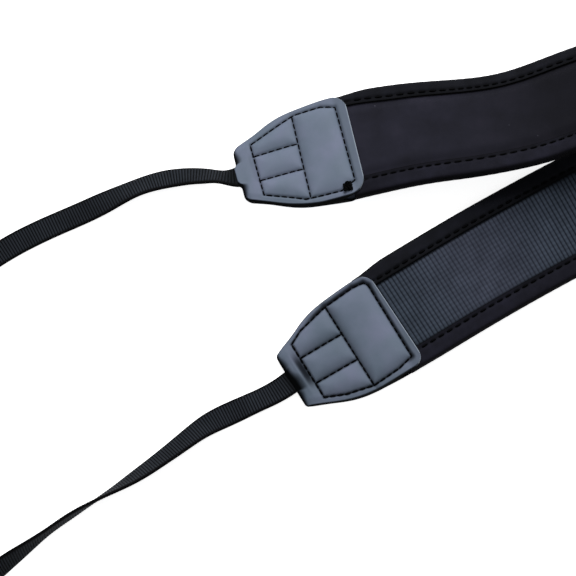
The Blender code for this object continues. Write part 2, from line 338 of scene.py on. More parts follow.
def lengthened(route, reach):
    """The route with a straight stretch added before its start and after its end."""
    first = unit(route.points[1] - route.points[0]) * reach
    last = unit(route.points[-1] - route.points[-2]) * reach
    along = np.concatenate([[route.along[0] - reach], route.along, [route.along[-1] + reach]])
    points = np.vstack([route.points[0] - first, route.points, route.points[-1] + last])
    across = np.vstack([route.across[0], route.across, route.across[-1]])
    return Route(along, points, across, np.vstack([route.out[0], route.out, route.out[-1]]))


pad = lengthened(pad_route(), TAB_OVERHANG)
print("The pad's middle ends at, in mm:", np.round(pad.points[-1] * 1000, 1))


# %% [markdown]
# ### The tails' routes
#
# A tail could be a simulated ribbon, but a simulation wouldn't stop at the twists in the photograph. So it is
# given as a table too: its table has the heading in plan and the lean, which turns it over on its way to the
# cut end. It sinks smoothly from the tab to the table, and rests there on its lower side.

# %% The tails' routes
def tail_route(table, length, tab_end, inwards, floor):
    """Outside the tab the tail follows its own table and sinks to the floor. Inside, it follows the pad."""
    count = round(length / ROUTE_STEP) + 1
    along = np.linspace(0.0, length, count)
    share = np.minimum(along / length, TAIL_END_SHARE)
    forward, left = plan_axes(np.radians(column_at(table, 1, share)))
    lean = np.radians(column_at(table, 2, share))[:, None]
    start = pad.place(tab_end, 0.0, 0.0)
    points = path_through(forward, length / (count - 1)) + start
    reach = (np.abs(np.sin(lean)) * TAIL_HALF + np.abs(np.cos(lean)) * TAIL_THICKNESS / 2)[:, 0]
    points[:, 2] = floor + reach + (start[2] - floor - reach[0]) * fade(along, TAIL_DROP)
    across = np.cos(lean) * left - np.sin(lean) * UP

    hidden = np.arange(CROSS_SEAM - GAP, 0.0, -ROUTE_STEP)
    inside = pad.place(tab_end + inwards * hidden, 0.0, 0.0)
    inside_across = pad.read(-pad.across * inwards, tab_end + inwards * hidden)
    side = np.sign(np.dot(inside_across[-1], across[0]))
    points = np.vstack([inside, points])
    across = np.vstack([inside_across * side, across])
    out = unit(np.cross(np.gradient(points, axis=0), across))
    return Route(np.concatenate([-hidden, along]), points, across, out)


cut_ends = {mount["name"]: np.array(mount["pos_m"]) for mount in frame["record"]["mounts"]}
# The table lies this far below the start of the pad's route.
route_floor = -0.0028413
tail_lower = tail_route(LOWER_TAIL_ROUTE, TAIL_LOWER_LENGTH, 0.0, 1, route_floor)
tail_upper = tail_route(UPPER_TAIL_ROUTE, TAIL_UPPER_LENGTH, PAD_LENGTH, -1, route_floor)
print("Points on the tails' routes:", len(tail_lower.along), "and", len(tail_upper.along))


# %% [markdown]
# The route starts at its own zero, and the CAD model has its origin under the middle of the strap. One point
# is known in both: the cut end of the lower tail is a mount in the record. The other tail's end then tests
# the move.

# %% Into the frame
shift = cut_ends["tail_lower_end"] - tail_lower.place(TAIL_LOWER_LENGTH, 0.0, 0.0)
for route in (pad, tail_lower, tail_upper):
    route.points += shift
miss = np.linalg.norm(tail_upper.place(TAIL_UPPER_LENGTH, 0.0, 0.0) - cut_ends["tail_upper_end"])
print("Shift in mm:", np.round(shift * 1000, 2))
print("The other tail's end is off by, in microns:", round(miss * 1e6))


# %% [markdown]
# ## From a grid to a piece
#
# Every layer here is a thin wall, so two grids of points describe it: one on its outer side and one on its
# inner side. One function joins them round their rims into a closed mesh. Its UV map holds real distances,
# along and across in metres, so that a weave can be drawn at its real size and follows each curve.

# %% Mesh helpers
SHARP_ANGLE = math.radians(60)


def quads(corner, beside, far, below):
    """Four arrays of point numbers, one for each corner, as rows of four."""
    return np.stack([corner, beside, far, below], axis=-1).reshape(-1, 4)


def mesh_object(name, points, faces, finish):
    """A smooth-shaded mesh of four-cornered faces."""
    mesh = bpy.data.meshes.new(name)
    mesh.vertices.add(len(points))
    mesh.vertices.foreach_set("co", points.astype(np.float32).ravel())
    mesh.loops.add(faces.size)
    mesh.loops.foreach_set("vertex_index", faces.astype(np.int32).ravel())
    mesh.polygons.add(len(faces))
    mesh.polygons.foreach_set("loop_start", np.arange(0, faces.size, 4, dtype=np.int32))
    mesh.update(calc_edges=True)
    mesh.validate()
    mesh.shade_smooth()
    mesh.materials.append(finish)
    return in_scene(name, mesh)


def wall(name, outer, inner, laid, finish, tags):
    """A closed wall between two grids. laid is the points' along and across, and tags are named values."""
    cell_along = outer[1:, :-1] - outer[:-1, :-1]
    cell_across = outer[:-1, 1:] - outer[:-1, :-1]
    facing = np.sum(np.cross(cell_along, cell_across) * (outer - inner)[:-1, :-1])
    # Faces have to point outwards, so a grid that is wound the other way is read backwards across.
    turned = slice(None, None, -1) if facing < 0 else slice(None)
    points = np.stack([outer[:, turned], inner[:, turned]])
    rows, columns = outer.shape[:2]
    number = np.arange(points[..., 0].size).reshape(2, rows, columns)
    top, bottom = number
    faces = np.concatenate([
        quads(top[:-1, :-1], top[1:, :-1], top[1:, 1:], top[:-1, 1:]),
        quads(bottom[:-1, :-1], bottom[:-1, 1:], bottom[1:, 1:], bottom[1:, :-1]),
        quads(top[:-1, 0], bottom[:-1, 0], bottom[1:, 0], top[1:, 0]),
        quads(top[:-1, -1], top[1:, -1], bottom[1:, -1], bottom[:-1, -1]),
        quads(top[0, :-1], top[0, 1:], bottom[0, 1:], bottom[0, :-1]),
        quads(top[-1, :-1], bottom[-1, :-1], bottom[-1, 1:], top[-1, 1:]),
    ])
    piece = mesh_object(name, points.reshape(-1, 3), faces, finish)
    piece.data.set_sharp_from_angle(angle=SHARP_ANGLE)
    laid = np.stack(np.broadcast_arrays(*laid), axis=-1)[:, turned]
    flat = np.broadcast_to(laid, (2, rows, columns, 2)).reshape(-1, 2)
    layer = piece.data.uv_layers.new(name="laid")
    layer.data.foreach_set("uv", flat[faces.ravel()].astype(np.float32).ravel())
    for tag, values in tags.items():
        spread = np.broadcast_to(values, (2, rows, columns))[..., turned]
        attribute = piece.data.attributes.new(tag, "FLOAT", "POINT")
        attribute.data.foreach_set("value", spread.astype(np.float32).ravel())
    return piece


def fitted(piece, slot, *nodes):
    """Says where a finished piece belongs: its body and the plain nodes it stands for. slot is not used."""
    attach(piece, "root")
    if nodes:
        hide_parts(*nodes)
    print(f"{piece.name}: {2 * len(piece.data.polygons)} triangles")
    return piece


# %% [markdown]
# ## Materials
#
# Colours are picked as sRGB, the way that a screen shows them, and turned to the linear values that a shader
# reckons with. One helper adds a node, sets it and links it. A mark that the mesh carries, such as painted
# shade, mixes its own colour in, and each finish ends in a colour and a relief. All patterns read the pieces'
# own UV map, in metres, or the object's coordinates, so they stay put however the camera moves.

# %% Material helpers
MM = 0.001


def linear(code):
    """An sRGB hex colour as linear RGBA: each channel over 12.92 when dark, or else the 2.4 power curve."""
    channels = np.array([int(code[i:i + 2], 16) for i in (1, 3, 5)]) / 255
    bright = ((channels + 0.055) / 1.055) ** 2.4
    return (*np.where(channels <= 0.04045, channels / 12.92, bright).tolist(), 1.0)


def set_stops(elements, stops):
    """Gives a colour ramp its stops, each a position and a colour."""
    while len(elements) < len(stops):
        elements.new(0.5)
    for element, (position, colour) in zip(elements, stops):
        element.position = position
        element.color = linear(colour)


def add(tree, kind, settings=(), links=()):
    """Adds a node. A setting names a socket, by name or number, an option of the node, or a ramp's stops."""
    node = tree.nodes.new("ShaderNode" + kind)
    for key, value in dict(settings).items():
        if key == "stops":
            set_stops(node.color_ramp.elements, value)
        elif isinstance(key, int) or key in node.inputs:
            node.inputs[key].default_value = value
        else:
            setattr(node, key, value)
    for key, source in dict(links).items():
        tree.links.new(source, node.inputs[key])
    return node


def new_material(name, **sockets):
    """A material, its tree, its shader and the object's coordinates. sockets are the shader's own values."""
    print("Material:", name)
    finish = bpy.data.materials.new(name)
    finish.use_nodes = True
    shader = finish.node_tree.nodes["Principled BSDF"]
    for key, value in sockets.items():
        shader.inputs[key.replace("_", " ")].default_value = value
    return finish, finish.node_tree, shader, add(finish.node_tree, "TexCoord").outputs["Object"]


def tinted(tree, shade, mark, colour):
    """Mixes a colour in by the mesh's own value of that name."""
    share = add(tree, "Attribute", {"attribute_name": mark}).outputs["Fac"]
    return add(tree, "Mix", {"data_type": "RGBA", 7: linear(colour)}, {0: share, 6: shade}).outputs[2]


def dress(tree, shader, shade, height, strength, depth):
    """Feeds the shader its colour, and a height as a bump of that strength and depth."""
    bump = add(tree, "Bump", {"Strength": strength, "Distance": depth}, {"Height": height})
    tree.links.new(shade, shader.inputs["Base Color"])
    tree.links.new(bump.outputs[0], shader.inputs["Normal"])


# %% [markdown]
# ### Neoprene back
#
# Foam rubber faced with a thin matte jersey. The jersey scatters light evenly, so it is nearly black with a
# trace of violet, has hardly any gloss, and shows a few pale specks of lint. Round the fold it is painted
# darker, as painted shade where the surface curves away from the light, and a value of the mesh says where.
# A knit loop is about 0.4 mm, which is too fine for the picture but shows close up.

# %% Neoprene material
def neoprene_material():
    """Slow clouds of near black, a few pale specks, painted shade round the fold, and a fine knit as bump."""
    matte = {"Roughness": 0.85, "Specular IOR Level": 0.05}
    finish, tree, shader, here = new_material("jersey_faced_neoprene", **matte)
    cloud = add(tree, "TexNoise", {"Scale": 1 / (18 * MM), "Detail": 4.0, "Roughness": 0.6}, {"Vector": here})
    stops = ((0.30, "#1b1b22"), (0.52, "#202029"), (0.72, "#26252f"))
    shade = add(tree, "ValToRGB", {"stops": stops}, {0: cloud.outputs["Fac"]}).outputs[0]
    grains = add(tree, "TexVoronoi", {"Scale": 1 / (7 * MM), "Randomness": 1.0}, {"Vector": here})
    close = add(tree, "Math", {"operation": "LESS_THAN", 1: 0.045}, {0: grains.outputs["Distance"]})
    speck = add(tree, "Mix", {"data_type": "RGBA", 7: linear("#4b4b55")}, {0: close.outputs[0], 6: shade})
    # Painted shade round the fold, where the surface curves away from the light.
    shade = tinted(tree, speck.outputs[2], "stretched", "#0e0e11")
    knit = add(tree, "TexVoronoi", {"Scale": 1 / (0.45 * MM)}, {"Vector": here})
    dress(tree, shader, shade, knit.outputs["Distance"], 0.25, 0.05 * MM)
    return finish


neoprene_finish = neoprene_material()


# %% [markdown]
# ### Webbing
#
# Nylon webbing of this kind is woven over thick cross threads, so ribs run across it. The ribs are in the
# mesh. The material adds the fine yarns that run lengthways over them, and darkens the grooves, where little
# light gets in. The broad webbing is paler and bluer than the black tails. A paler, greyer patch a few
# centimetres from the tab is a painted sheen, where the curving strap catches the light, and a value of the
# mesh marks it. Another value paints shade under the tapes' lips and on the tails.

# %% Webbing materials
def webbing_material(name, groove, flank, crest, yarn, roughness):
    """Colour follows the mesh's rib height, 0 in a groove and 1 on a crest. yarn is the yarns' spacing."""
    finish, tree, shader, here = new_material(name, Roughness=roughness, Specular_IOR_Level=0.05)
    rib = add(tree, "Attribute", {"attribute_name": "rib"}).outputs["Fac"]
    stops = ((0.15, groove), (0.55, flank), (0.95, crest))
    weave = add(tree, "ValToRGB", {"stops": stops}, {0: rib}).outputs[0]
    # A painted sheen: paler and greyer where the curving strap catches the light.
    shade = tinted(tree, weave, "faded", "#3a3c49")
    split = add(tree, "SeparateXYZ", links={0: add(tree, "UVMap", {"uv_map": "laid"}).outputs[0]})
    wave = add(tree, "Math", {"operation": "MULTIPLY", 1: 2 * math.pi / yarn}, {0: split.outputs["Y"]})
    lines = add(tree, "Math", {"operation": "SINE"}, {0: wave.outputs[0]}).outputs[0]
    yarns = add(tree, "MapRange", {"From Min": -1.0, "To Min": 0.88, "To Max": 1.06}, {"Value": lines})
    worn = add(tree, "TexNoise", {"Scale": 1 / (9 * MM), "Detail": 5.0, "Roughness": 0.65}, {"Vector": here})
    levels = {"From Min": 0.3, "From Max": 0.7, "To Min": 0.8, "To Max": 1.2}
    tone = add(tree, "MapRange", levels, {"Value": worn.outputs["Fac"]})
    both = add(tree, "Math", {"operation": "MULTIPLY"}, {0: tone.outputs[0], 1: yarns.outputs[0]})
    scaled = add(tree, "VectorMath", {"operation": "SCALE"}, {0: shade, "Scale": both.outputs[0]})
    # Painted shade: under the tapes' lips on the broad webbing, and on the tails by the tabs and elsewhere.
    dress(tree, shader, tinted(tree, scaled.outputs[0], "crease", "#060708"), lines, 0.35, 0.08 * MM)
    return finish


face_finish = webbing_material("worn_ribbed_nylon_webbing", "#12161c", "#272e38", "#353d48", 2.1 * MM, 0.75)
tail_finish = webbing_material("black_ribbed_nylon_webbing", "#030304", "#0e1013", "#262a30", 0.7 * MM, 0.8)


# %% [markdown]
# ### Binding tape
#
# A plain-woven nylon tape, folded in half over the edge. Its threads are 0.35 mm apart and it is matte black.
# The tape on the strap's right side is a little paler than the other: painted light, on the side that the
# light reaches more. One value of the mesh mixes the two shades, and another paints shade at the lip, in the
# seam and round the outer rounding.

# %% Tape material
def tape_material():
    """Two clouded blacks mixed as painted light, a colour for painted shade, and a plain weave as bump."""
    finish, tree, shader, here = new_material("woven_nylon_tape", Roughness=0.8, Specular_IOR_Level=0.05)
    worn = add(tree, "TexNoise", {"Scale": 1 / (12 * MM), "Detail": 5.0, "Roughness": 0.6}, {"Vector": here})
    blacks = []
    for low, middle, high in (("#0d0e12", "#121318", "#17181f"), ("#13131a", "#191921", "#1f1f2a")):
        stops = ((0.3, low), (0.5, middle), (0.72, high))
        blacks.append(add(tree, "ValToRGB", {"stops": stops}, {0: worn.outputs["Fac"]}).outputs[0])
    # Painted light: the tape on the side that the light reaches more gets the paler black.
    wear = add(tree, "Attribute", {"attribute_name": "wear"}).outputs["Fac"]
    shade = add(tree, "Mix", {"data_type": "RGBA"}, {0: wear, 6: blacks[0], 7: blacks[1]}).outputs[2]
    laid = add(tree, "UVMap", {"uv_map": "laid"}).outputs[0]
    squares = add(tree, "TexChecker", {"Scale": 1 / (0.35 * MM)}, {"Vector": laid}).outputs["Fac"]
    # Painted shade at the lip, in the seam and round the tape's outer side.
    dress(tree, shader, tinted(tree, shade, "crease", "#040405"), squares, 0.3, 0.06 * MM)
    return finish


tape_finish = tape_material()


# %% [markdown]
# ### Faux leather
#
# Polyurethane on a cloth backing, embossed with a fine pebble grain. It is a slate blue with an even, soft
# gloss, and drifts between grey and violet over a centimetre or so. The mesh carries three values. The first
# is 1 where the edges are inked black, and where shade is painted over the shoulders and in the mouth over
# the tail. The second is a painted highlight along the cut of the wide end and its corners, where the
# rounded edge catches the light. The third is painted shade, high where the leather dips into a seam and
# little light gets in, and in the valley and the cells, and it darkens the rims outside the outline too.
# Ink and painted shade don't shine.

# %% Leather material
def leather_material():
    """Clouded slate, then painted shade, a painted highlight and ink over it, and a pebble grain as bump."""
    finish, tree, shader, here = new_material("slate_faux_leather", Sheen_Weight=0.02)
    cloud = add(tree, "TexNoise", {"Scale": 1 / (14 * MM), "Detail": 3.0, "Roughness": 0.5}, {"Vector": here})
    stops = ((0.32, "#586473"), (0.5, "#5f697a"), (0.7, "#666d81"))
    shade = add(tree, "ValToRGB", {"stops": stops}, {0: cloud.outputs["Fac"]}).outputs[0]
    # Painted shade, a painted highlight along the wide cut, then ink that carries painted shade too.
    for mark, colour in (("crease", "#12151a"), ("raw", "#929ca8"), ("paint", "#050607")):
        shade = tinted(tree, shade, mark, colour)
    pebbles = add(tree, "TexVoronoi", {"Scale": 1 / (0.6 * MM), "feature": "SMOOTH_F1"}, {"Vector": here})
    fine = add(tree, "TexNoise", {"Scale": 1 / (0.25 * MM), "Detail": 3.0}, {"Vector": here})
    relief = add(tree, "Math", {"operation": "ADD"}, {0: pebbles.outputs["Distance"], 1: fine.outputs["Fac"]})
    dress(tree, shader, shade, relief.outputs[0], 0.22, 0.05 * MM)
    levels = {"From Min": 0.3, "From Max": 0.7, "To Min": 0.56, "To Max": 0.68}
    gloss = add(tree, "MapRange", levels, {"Value": cloud.outputs["Fac"]})
    tree.links.new(gloss.outputs[0], shader.inputs["Roughness"])
    # Neither ink nor painted shade shines.
    marks = [add(tree, "Attribute", {"attribute_name": mark}).outputs["Fac"] for mark in ("crease", "paint")]
    covered = add(tree, "Math", {"operation": "MAXIMUM"}, {0: marks[0], 1: marks[1]})
    matte = add(tree, "MapRange", {"To Min": 0.2, "To Max": 0.0}, {"Value": covered.outputs[0]})
    tree.links.new(matte.outputs[0], shader.inputs["Specular IOR Level"])
    return finish


leather_finish = leather_material()


# %% [markdown]
# ### Thread
#
# Bonded nylon sewing thread, close to a millimetre thick. It is black and dull, and its fibres show as a fine
# unevenness.

# %% Thread material
def thread_material():
    """Two blacks from a fine noise, which is the bump as well."""
    finish, tree, shader, here = new_material("bonded_nylon_thread", Roughness=0.7, Specular_IOR_Level=0.03)
    fibres = add(tree, "TexNoise", {"Scale": 1 / (0.3 * MM), "Detail": 2.0}, {"Vector": here}).outputs["Fac"]
    stops = ((0.35, "#010102"), (0.65, "#050507"))
    shade = add(tree, "ValToRGB", {"stops": stops}, {0: fibres}).outputs[0]
    dress(tree, shader, shade, fibres, 0.3, 0.05 * MM)
    return finish


thread_finish = thread_material()


# %% [markdown]
# ## Ribbed webbing on the outer face
#
# A rib could be painted as bump, but light catches real ribs differently from each side. So the height of the
# surface follows the distance along: the square root of a sine, which gives round crests and narrow grooves.
# Six rows for each rib are enough. The webbing's edges stay under the tapes, pressed flat.

# %% Face webbing
FACE_RIB = 0.00195
FACE_RIB_HEIGHT = 0.00028
ROWS_PER_RIB = 6
RIB_MIDDLE = 0.6
TUCKED = 0.00045
UNDER_TAPE = (0.68, 0.07)
WEBBING_SIDE = (0.95, 0.05)
# Where along the strap the painted sheen lies, and how wide it is.
SHEEN_PATCH = (0.102, 0.028)
core_start = CROSS_SEAM + GAP
core_end = PAD_LENGTH - CROSS_SEAM - GAP


def ribs(along, pitch):
    """1 on a crest and 0 in a groove: the square root of |sin(pi along / pitch)|."""
    return np.sqrt(np.abs(np.sin(math.pi * along / pitch)))


def rib_rows(start, end, pitch):
    """Distances along with ROWS_PER_RIB to each rib, its groove among them."""
    first = math.ceil(start / pitch * ROWS_PER_RIB)
    last = math.floor(end / pitch * ROWS_PER_RIB)
    inside = np.arange(first, last + 1) * pitch / ROWS_PER_RIB
    return np.unique(np.concatenate([[start], inside, [end]]))


def mirrored(*shares):
    """Shares of the half width from side to side, given those from the middle to one side."""
    half = np.array(shares)
    return np.concatenate([-half[:0:-1], half])


def face_webbing():
    """Outer level = base + rib height x (rib - RIB_MIDDLE), and lower and smooth where the tapes press."""
    along = rib_rows(core_start, core_end, FACE_RIB)[:, None]
    share = mirrored(0.0, 0.25, 0.5, 0.64, 0.69, 0.72, 0.75, 0.85, 0.97, 1.0)
    across = share * CORE_HALF
    rib = ribs(along, FACE_RIB)
    pressed = rise(np.abs(share), *UNDER_TAPE)
    level = WEBBING_OUTER + FACE_RIB_HEIGHT * (rib - RIB_MIDDLE) * (1 - pressed) - TUCKED * pressed
    rounded = 0.5 * MM * rise(np.abs(share), *WEBBING_SIDE)
    outer = pad.place(along, across, level - rounded)
    inner = pad.place(along, across, WEBBING_INNER)
    # Painted shade where the tapes press the webbing down, and the painted sheen near the tab.
    tags = {"rib": rib, "crease": 0.9 * pressed, "faded": 0.55 * hump(along, *SHEEN_PATCH)}
    return wall("ribbed_face_webbing", outer, inner, (along, across), face_finish, tags)


fitted(face_webbing(), "face_webbing", "face_webbing")


# %% [markdown]
# ## The neoprene cushion
#
# Foam is squeezed flat under the tapes and swells between them, like a long low pillow. Its surface isn't
# dead flat either: a few slow waves, worked out from sines, stand for the give of the foam. Such a shallow
# swelling needs no cloth simulation.

# %% Neoprene pad
LIP = 0.0171
SWELL_REACH = 0.0048
WAVE_HEIGHT = 0.00012
FREE_OF_TAB = (TAPE_START, 0.007)
NEOPRENE_SIDE = (0.97, 0.03)
FOLDED = (0.245, -0.100)
FLAP_NARROWER = 0.0011
FLAP_END_NARROWER = 0.0009
FLAP_END = 0.020


def flap_shift(along, side, face):
    """How far out a tape's lip lies from LIP: on the left tape's back flap 1.1 mm, and 2 mm by its end."""
    by_end = fade(PAD_LENGTH - TAB_LENGTH - along, FLAP_END)
    return (FLAP_NARROWER + FLAP_END_NARROWER * by_end) * ((side > 0) & (face < 0))


def waves(along, across):
    """Slow uneven waves between -1 and 1: a sum of three sines that cross at odd angles."""
    first = np.sin(along * 160 + across * 90)
    second = np.sin(along * 290 - across * 210 + 1.3)
    third = np.sin(along * 57 + across * 330 + 0.4)
    return (first + second + third) / 3


def neoprene_pad():
    """Back level = flat + swelling, which rises smoothly over SWELL_REACH from each tape's lip."""
    along = np.linspace(core_start, core_end, 400)[:, None]
    share = np.sin(np.linspace(-1.0, 1.0, 41) * math.pi / 2)
    across = share * CORE_HALF
    depth = np.minimum(along, PAD_LENGTH - along)
    free = rise(depth, *FREE_OF_TAB)
    lip = LIP + GAP + flap_shift(along, np.sign(across), -1)
    swell = rise(np.abs(across), lip, -SWELL_REACH) * free
    level = NEOPRENE_FLAT + (NEOPRENE_FULL - NEOPRENE_FLAT + WAVE_HEIGHT * waves(along, across)) * swell
    rounded = 0.6 * MM * rise(np.abs(share), *NEOPRENE_SIDE)
    outer = pad.place(along, across, rounded - level)
    inner = pad.place(along, across, 0.0)
    # Painted shade round the fold, over the middle of the strap's length.
    tags = {"stretched": 0.75 * rise(np.abs(along - PAD_LENGTH / 2), *FOLDED)}
    return wall("neoprene_cushion", outer, inner, (along, across), neoprene_finish, tags)


cushion = fitted(neoprene_pad(), "neoprene", "neoprene_pad")


# %% [markdown]
# ## The folded tapes
#
# One tape wraps each edge. Its section is drawn once: flat from the lip to a round corner, then down the
# side, and the back is its mirror image. A profile that is carried along the route suits it better than a
# bevel, because its points can crowd at the lip and at the seam.

# %% The tape's section
TAPE_CORNER = 0.0024
TAPE_FALL = 0.0003
TAPE_SEAM = 0.0189
FLAT_STATIONS = np.array([0, 3, 7, 11, 14, 18, 22, 26, 32, 40, 50]) / 10000


def tape_section():
    """Half of the section, from the lip to the middle of the side: across, level and the way out of each.

    It falls slightly from the seam on, and ends in a quarter of an ellipse.
    """
    centre = PAD_HALF - TAPE_CORNER
    angle = np.linspace(0.0, math.pi / 2, 8)
    flat = LIP + FLAT_STATIONS
    fall = TAPE_FALL * rise(flat, TAPE_SEAM, centre - TAPE_SEAM)
    across = np.concatenate([flat, centre + TAPE_CORNER * np.sin(angle)])
    level = np.concatenate([TAPE_OUTER - fall, (TAPE_OUTER - TAPE_FALL) * np.cos(angle)])
    way_across = np.concatenate([np.zeros(len(flat)), np.sin(angle)])
    way_out = np.concatenate([np.ones(len(flat)), np.cos(angle)])
    return across, level, way_across, way_out


print("Points in half a section:", len(tape_section()[0]))


# %% [markdown]
# ### Where the thread pulls it in
#
# A sewing machine pulls the tape in along the seam and lets it puff out between the stitches. So the level
# there follows both the distance to the seam and the place between two stitches, which is a cosine that the
# stitches themselves will share.

# %% The tape's relief
SEAM_START = TAB_LENGTH + 0.001
STITCH_COUNT = round((PAD_LENGTH - 2 * SEAM_START) / (4.5 * MM))
STITCH_PITCH = (PAD_LENGTH - 2 * SEAM_START) / STITCH_COUNT
SEAM_DEPTH = 0.00050
SEAM_GROOVE = (TAPE_SEAM, 0.0007)
PUFF = 0.00020
PUFF_SIDE = (TAPE_SEAM, 0.0015)
LIP_DROP = 0.00012
LIP_SIDE = (TAPE_SEAM, -0.0018)


def stitch_beat(along):
    """1 at the middle of each stitch and 0 halfway between two."""
    return 0.5 - 0.5 * np.cos(2 * math.pi * (along - SEAM_START) / STITCH_PITCH)


def tape_relief(along, across):
    """How far the tape stands in or out: a groove along the seam, a puff beside it, and a low lip."""
    beat = stitch_beat(along)
    groove = SEAM_DEPTH * hump(across, *SEAM_GROOVE) * (0.45 + 0.55 * beat)
    puff = PUFF * rise(across, *PUFF_SIDE) * (0.75 + 0.25 * beat)
    return puff - groove - LIP_DROP * rise(across, *LIP_SIDE)


print("Stitches in each seam:", STITCH_COUNT)


# %% [markdown]
# ### The two tapes
#
# Near a tab the tape draws in, so that the leather covers its end: more on the left, because the leather lies
# slightly to the right. The left tape was also sewn on a little off its middle, and its back flap is the
# narrower one.

# %% The two tapes
TAPE_WALL = 0.0008
TAPE_TAPERS = {1: 0.0016, -1: 0.0002}
TAPER_REACH = 0.018
TAPER_SIDE = (0.0190, 0.0040)
FLAP_SIDE = (0.0200, 0.0055)
ROUND_SIDE = (0.35, 0.40)
LIP_LINE = (LIP, 0.0004)
LIP_TO_SEAM = (0.0180, 0.0014)
ROWS_PER_STITCH = 5


def flap_share(across):
    """The part of the flap's shift that a point takes: all from lip to seam, and none at the side."""
    return 1 - rise(across, *FLAP_SIDE)


def tape_painted_shade(along, across, way_across):
    """Painted shade in the seam's groove, at the lip, between the two, and round the tape's outer side."""
    seam = hump(across, *SEAM_GROOVE) * (0.35 + 0.65 * stitch_beat(along))
    between = 0.45 * hump(across, *LIP_TO_SEAM, 4)
    return most(seam, between, hump(across, *LIP_LINE), 0.85 * rise(way_across, *ROUND_SIDE))


def binding_tape(name, side, wear):
    """The half section and its mirror image on the back, carried along the pad. Painted light runs 0 to 1."""
    half = np.stack(tape_section())
    across, level, way_across, way_out = np.hstack([half, half[:, ::-1]])
    face = np.repeat([1.0, -1.0], half.shape[1])
    level = level * face
    way_out = way_out * face
    count = round((PAD_LENGTH - 2 * TAPE_START) / STITCH_PITCH * ROWS_PER_STITCH)
    along = np.linspace(TAPE_START, PAD_LENGTH - TAPE_START, count + 1)[:, None]
    depth = np.minimum(along, PAD_LENGTH - along)
    taper = TAPE_TAPERS[side] * fade(depth - TAPE_START, TAPER_REACH)
    moved = flap_shift(along, side, face) * flap_share(across)
    across_there = across + moved - taper * rise(across, *TAPER_SIDE)
    relief = tape_relief(along, across)
    outer, inner = (
        pad.place(along, side * (across_there + way_across * lift), level + way_out * lift)
        for lift in (relief, relief - TAPE_WALL)
    )
    around = np.concatenate([[0.0], np.cumsum(np.hypot(np.diff(across), np.diff(level)))])
    tags = {"crease": tape_painted_shade(along, across, way_across), "wear": wear}
    return wall(name, outer, inner, (along, around), tape_finish, tags)


# The right tape gets the painted light.
for place, side, wear in (("left", 1, 0.0), ("right", -1, 1.0)):
    fitted(binding_tape(f"binding_tape_{place}", side, wear), "binding_tape", f"edge_binding_{place}")


# %% [markdown]
# ## Stitches
#
# Each stitch is a short thread that comes up through one hole and goes down through the next. All stitches of
# a seam are made at once as one array: stitches by rings along each by points round each ring.

# %% Thread helpers
STITCH_LENGTH = 0.0033
THREAD_RADIUS = 0.00044
RINGS = 7
RING_SIDES = 6


def tube_faces(count, rings):
    """Faces of several closed tubes at once: bands between the rings, and two faces on each six-sided end."""
    number = np.arange(count * rings * RING_SIDES).reshape(count, rings, RING_SIDES)
    after = np.roll(number, -1, axis=2)
    bands = quads(number[:, :-1], after[:, :-1], after[:, 1:], number[:, 1:])
    caps = [number[:, 0, order] for order in ([0, 3, 2, 1], [0, 5, 4, 3])]
    caps += [number[:, -1, order] for order in ([0, 1, 2, 3], [0, 3, 4, 5])]
    return np.concatenate([bands, *caps])


def thread_tubes(middle, normal, radius):
    """Rings round each thread's middle line: middle + radius (cos(a) side + sin(a) up)."""
    forward = unit(np.gradient(middle, axis=1))
    side = unit(np.cross(normal, forward))
    up = np.cross(forward, side)
    angle = np.arange(RING_SIDES) * 2 * math.pi / RING_SIDES
    wide = np.cos(angle)[:, None] * side[:, :, None, :]
    high = np.sin(angle)[:, None] * up[:, :, None, :]
    return middle[:, :, None, :] + radius[..., None, None] * (wide + high)


def stitch_points(measure, line, normal, pitch, length, radius=THREAD_RADIUS):
    """Threads along a line: each lies on the surface, thicker at one end, and dives through it at both.

    measure is each point's distance along the seam, by which the stitches are spaced out.
    """
    span = measure[-1] - measure[0]
    count = max(1, round(span / pitch))
    centre = measure[0] + (np.arange(count) + 0.5) * span / count
    t = np.linspace(-1.0, 1.0, RINGS)
    reach = centre[:, None] + t * length / 2
    facing = unit(read_between(reach, measure, normal))
    height = radius * (0.9 - 2.4 * t**4)
    middle = read_between(reach, measure, line) + facing * height[None, :, None]
    thickness = radius * (1 - 0.25 * t - 0.3 * t**4)
    return thread_tubes(middle, facing, np.broadcast_to(thickness, reach.shape))


def threads(name, groups):
    """All the groups' threads in one piece."""
    points = np.concatenate([group.reshape(-1, 3) for group in groups])
    count = sum(len(group) for group in groups)
    return mesh_object(name, points, tube_faces(count, groups[0].shape[1]), thread_finish)


# %% [markdown]
# ### The pad's seams
#
# One seam holds each tape, and shows on both faces. Its stitches are 4.5 mm apart. They lie in the groove
# that the tape's own relief has there, because both read the same beat along the seam.

# %% The pad's seams
def pad_seam(side, face):
    """The line that lies on the tape along its seam, and the way out of the surface."""
    along = np.linspace(SEAM_START, PAD_LENGTH - SEAM_START, 8 * STITCH_COUNT + 1)
    across = TAPE_SEAM + flap_shift(along, side, face) * flap_share(TAPE_SEAM)
    level = TAPE_OUTER + tape_relief(along, TAPE_SEAM)
    return along, pad.place(along, side * across, face * level), face * unit(pad.read(pad.out, along))


faces_of_tapes = [(side, face) for side in (1, -1) for face in (1, -1)]
pad_seams = [stitch_points(*pad_seam(*where), STITCH_PITCH, STITCH_LENGTH) for where in faces_of_tapes]
fitted(threads("pad_stitches", pad_seams), "binding_tape")


# %% [markdown]
# ## The leather tabs
#
# Each tab is two plies, sewn together round the outline, along a cross seam and along two short seams, which
# leaves four soft cells. A ply's surface is worked out from its distance to the nearest seam: a narrow groove
# at the seam, a pillow between the seams, and a low rim outside the outline. The seams are short tables, read
# off each tab: distances from the narrow end and across, in millimetres.

